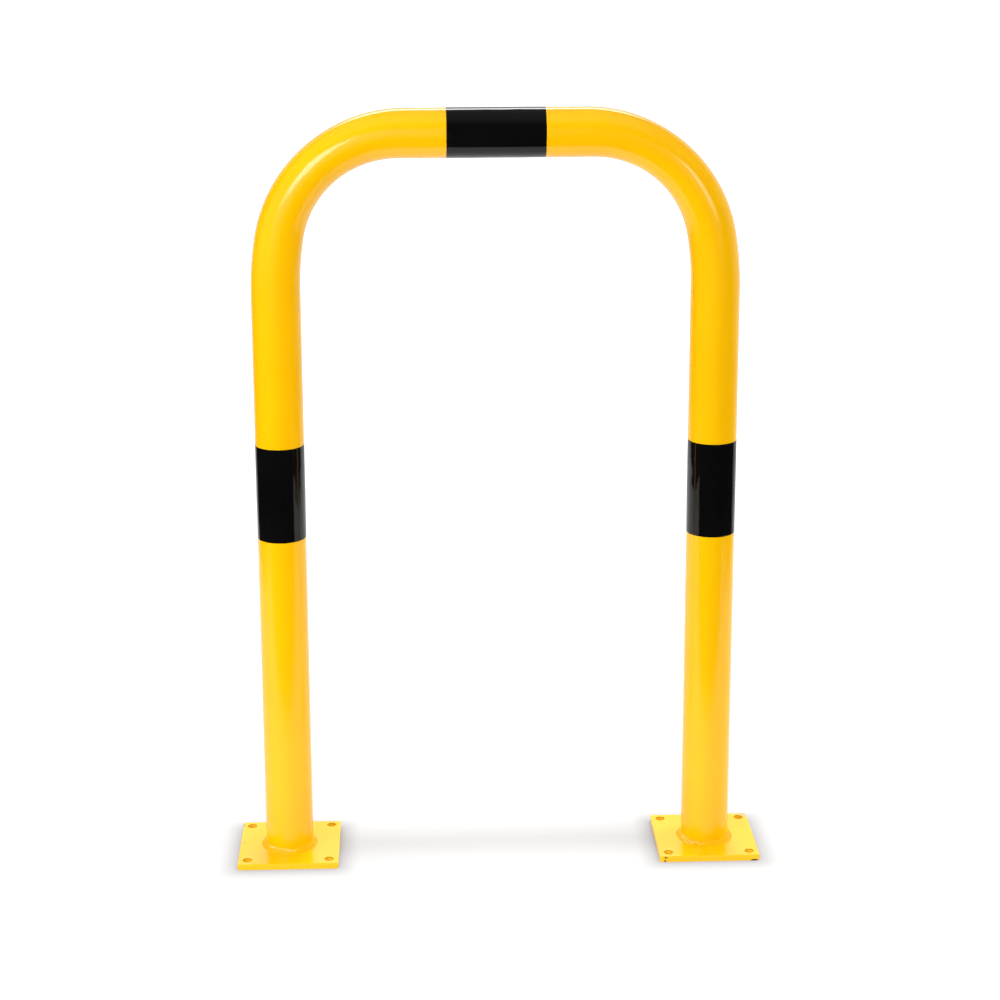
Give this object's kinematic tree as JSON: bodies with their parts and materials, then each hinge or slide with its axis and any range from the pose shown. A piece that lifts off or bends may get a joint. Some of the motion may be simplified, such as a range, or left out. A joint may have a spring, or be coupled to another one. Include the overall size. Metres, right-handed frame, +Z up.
{
  "type": "steel hoop safety bollard",
  "caption": "Bolt-down hoop guard of bent steel tube on square base plates, painted yellow with black film bands.",
  "frame": {"origin": "on the ground midway between the two legs, at the bottom centre of the object", "axes": "+X along the hoop from the left leg to the right leg, +Y through the hoop to its back, +Z up"},
  "size_m": [0.834, 0.16, 1.2003],
  "materials": {
    "yellow_paint": "glossy powder coat over steel tube, faint orange peel",
    "plate_paint": "glossy powder coat over steel plate, worn at corners and edges",
    "weld_paint": "glossy powder coat over a rippled weld bead",
    "black_film": "glossy self-adhesive black film"
  },
  "bodies": {
    "root": {"hoop_tube": "yellow_paint", "left_base_plate": "plate_paint", "right_base_plate": "plate_paint", "left_weld_bead": "weld_paint", "right_weld_bead": "weld_paint", "top_band": "black_film", "left_band": "black_film", "right_band": "black_film"}
  },
  "joints": []
}
